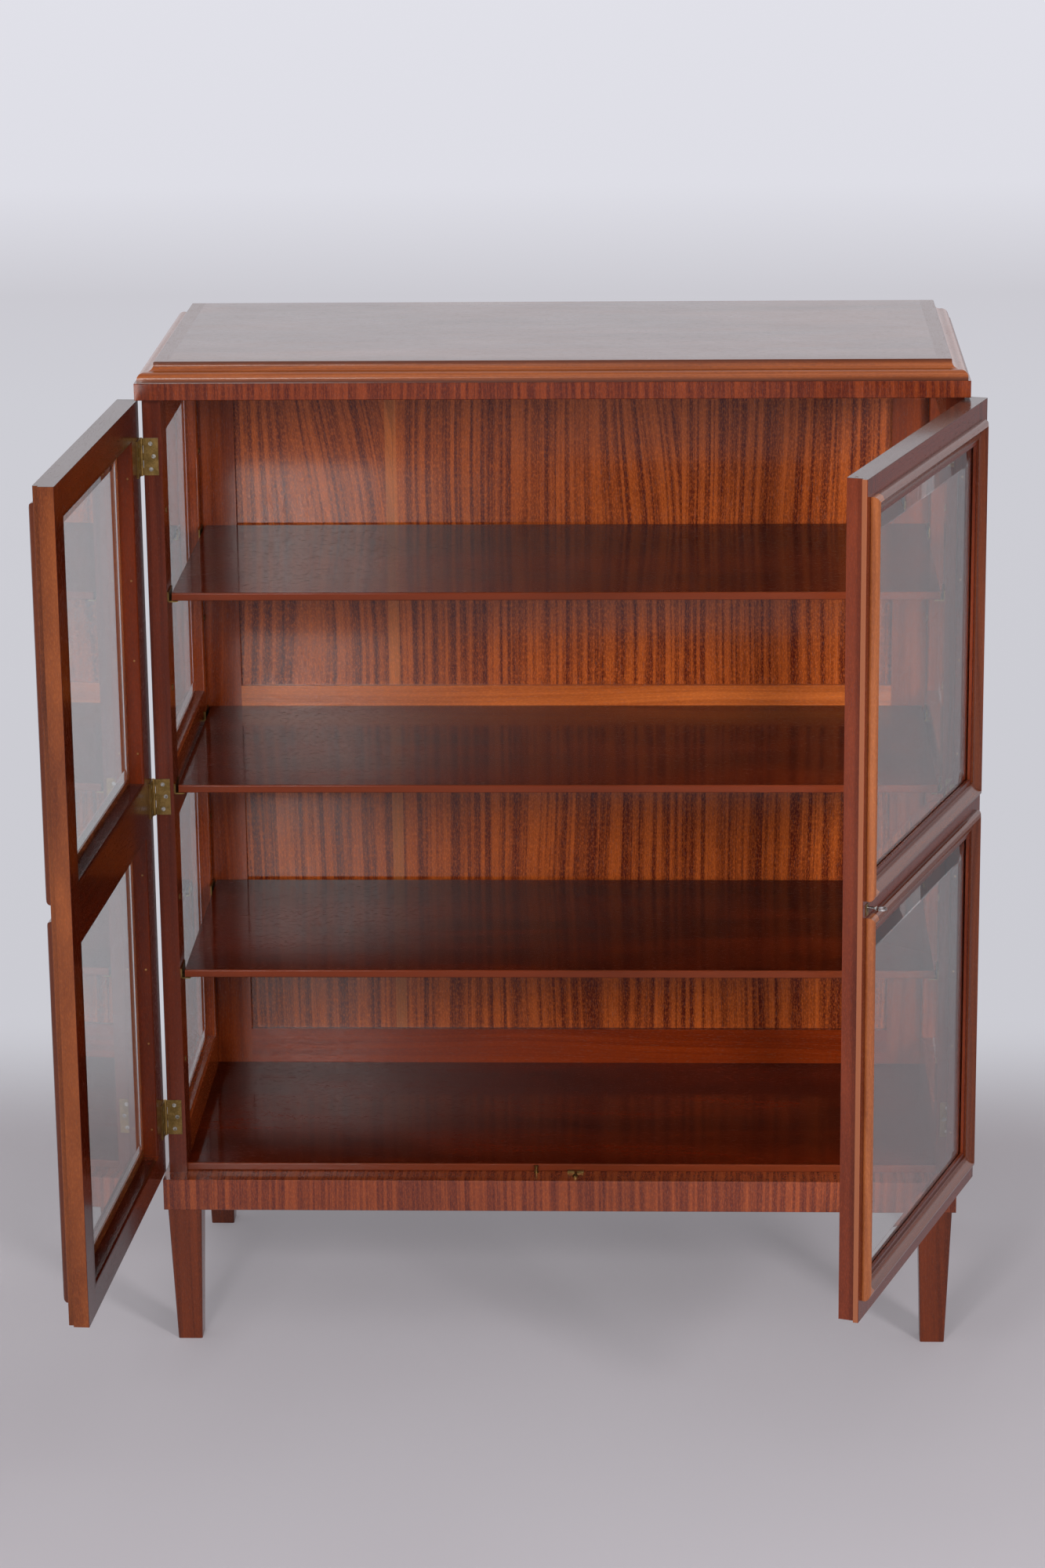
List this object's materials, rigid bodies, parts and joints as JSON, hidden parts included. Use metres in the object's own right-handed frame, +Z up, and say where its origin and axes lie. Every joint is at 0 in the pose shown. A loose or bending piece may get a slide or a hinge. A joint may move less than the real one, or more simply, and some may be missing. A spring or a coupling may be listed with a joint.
{
  "type": "display cabinet",
  "caption": "Glazed display cabinet with hinged framed doors, bevelled panes, bolt lock and key, lift-out shelves, panelled back, ogee cornice and tapered legs.",
  "frame": {"origin": "centre of the footprint of the whole model with its doors open as in the picture, on the floor; the carcass centre is 22.0 mm to +X of it and the stile fronts are 51.4 mm to +Y of it", "axes": "+X to the cabinet's right as seen from the front, +Y towards its back, +Z up"},
  "size_m": [1.1851, 0.9979, 1.3823],
  "materials": {
    "mahogany": "french polished mahogany",
    "mahogany_stripe": "gloss ribbon stripe mahogany veneer",
    "mahogany_top": "gloss mahogany with worn polish",
    "mahogany_shelf": "gloss dark mahogany",
    "bevelled_glass": "polished clear glass",
    "aged_brass": "satin aged brass",
    "bright_steel": "polished",
    "screw_steel": "satin slotted"
  },
  "bodies": {
    "cabinet": {"back_panel_lower": "mahogany_stripe", "back_panel_upper": "mahogany_stripe", "back_rails": "mahogany", "back_stiles": "mahogany", "base_frieze_front": "mahogany_stripe", "base_frieze_sides": "mahogany_stripe", "base_rail_back": "mahogany", "bolt_strike_lower": "aged_brass", "bolt_strike_upper": "aged_brass", "bottom_board": "mahogany_shelf", "cabinet_hinge_leaves": "aged_brass", "cabinet_hinge_screws": "screw_steel", "carcass_top": "mahogany_shelf", "cornice_front": "mahogany_top", "cornice_sides": "mahogany_top", "door_stop_peg": "aged_brass", "front_legs": "mahogany", "front_stile_left": "mahogany", "front_stile_right": "mahogany", "hinge_pins": "aged_brass", "rear_legs": "mahogany", "rear_stiles": "mahogany", "shelf_clips": "aged_brass", "shelf_sockets": "aged_brass", "side_beads_left": "mahogany", "side_beads_right": "mahogany", "side_glass_left": "bevelled_glass", "side_glass_right": "bevelled_glass", "side_rails_left": "mahogany", "side_rails_right": "mahogany", "top_board": "mahogany_top", "top_frieze_front": "mahogany_stripe", "top_frieze_sides": "mahogany_stripe"},
    "left_door": {"left_door_bead_pins": "aged_brass", "left_door_beads": "mahogany", "left_door_glass": "bevelled_glass", "left_door_hinge_leaves": "aged_brass", "left_door_hinge_screws": "screw_steel", "left_door_hinge_stile": "mahogany", "left_door_meeting_stile": "mahogany", "left_door_mouldings": "mahogany", "left_door_rails": "mahogany"},
    "right_door": {"right_door_bead_pins": "aged_brass", "right_door_beads": "mahogany", "right_door_glass": "bevelled_glass", "right_door_hinge_leaves": "aged_brass", "right_door_hinge_screws": "screw_steel", "right_door_hinge_stile": "mahogany", "right_door_meeting_stile": "mahogany", "right_door_mouldings": "mahogany", "right_door_rails": "mahogany", "lock_case": "aged_brass", "keyhole_escutcheon": "aged_brass"},
    "key_and_follower": {"key": "bright_steel", "lock_follower": "bright_steel"},
    "lower_bolt": {"bolt_lower": "bright_steel"},
    "upper_bolt": {"bolt_upper": "bright_steel"},
    "upper_shelf": {"shelf_upper": "mahogany_shelf"},
    "middle_shelf": {"shelf_middle": "mahogany_shelf"},
    "lower_shelf": {"shelf_lower": "mahogany_shelf"}
  },
  "joints": [
    {"name": "left_door_hinge", "type": "hinge", "parent": "cabinet", "child": "left_door", "pos_m": [-0.5225, 0.04992, 0.77], "axis": [0, 0, -1], "range_deg": [-93.4, 81.6]},
    {"name": "right_door_hinge", "type": "hinge", "parent": "cabinet", "child": "right_door", "pos_m": [0.5665, 0.04992, 0.77], "axis": [0, 0, 1], "range_deg": [-70.9, 104.1]},
    {"name": "key_turn", "type": "hinge", "parent": "right_door", "child": "key_and_follower", "pos_m": [0.42195, -0.45614, 0.7915], "axis": [0.9449, -0.3272, 0], "range_deg": [0, 90]},
    {"name": "lower_bolt_shot", "type": "slide", "parent": "right_door", "child": "lower_bolt", "axis": [0, 0, -1], "range_m": [0, 0.0063]},
    {"name": "upper_bolt_shot", "type": "slide", "parent": "right_door", "child": "upper_bolt", "axis": [0, 0, 1], "range_m": [0, 0.0063]},
    {"name": "lower_shelf_lift", "type": "slide", "parent": "cabinet", "child": "lower_shelf", "axis": [0, 0, 1], "range_m": [0, 0.249]},
    {"name": "middle_shelf_lift", "type": "slide", "parent": "cabinet", "child": "middle_shelf", "axis": [0, 0, 1], "range_m": [0, 0.253]},
    {"name": "upper_shelf_lift", "type": "slide", "parent": "cabinet", "child": "upper_shelf", "axis": [0, 0, 1], "range_m": [0, 0.266]}
  ],
  "couplings": [
    {"joint": "key_turn", "follows": "lower_bolt_shot", "rad_per_m": 249.33},
    {"joint": "upper_bolt_shot", "follows": "lower_bolt_shot", "ratio": 1}
  ]
}
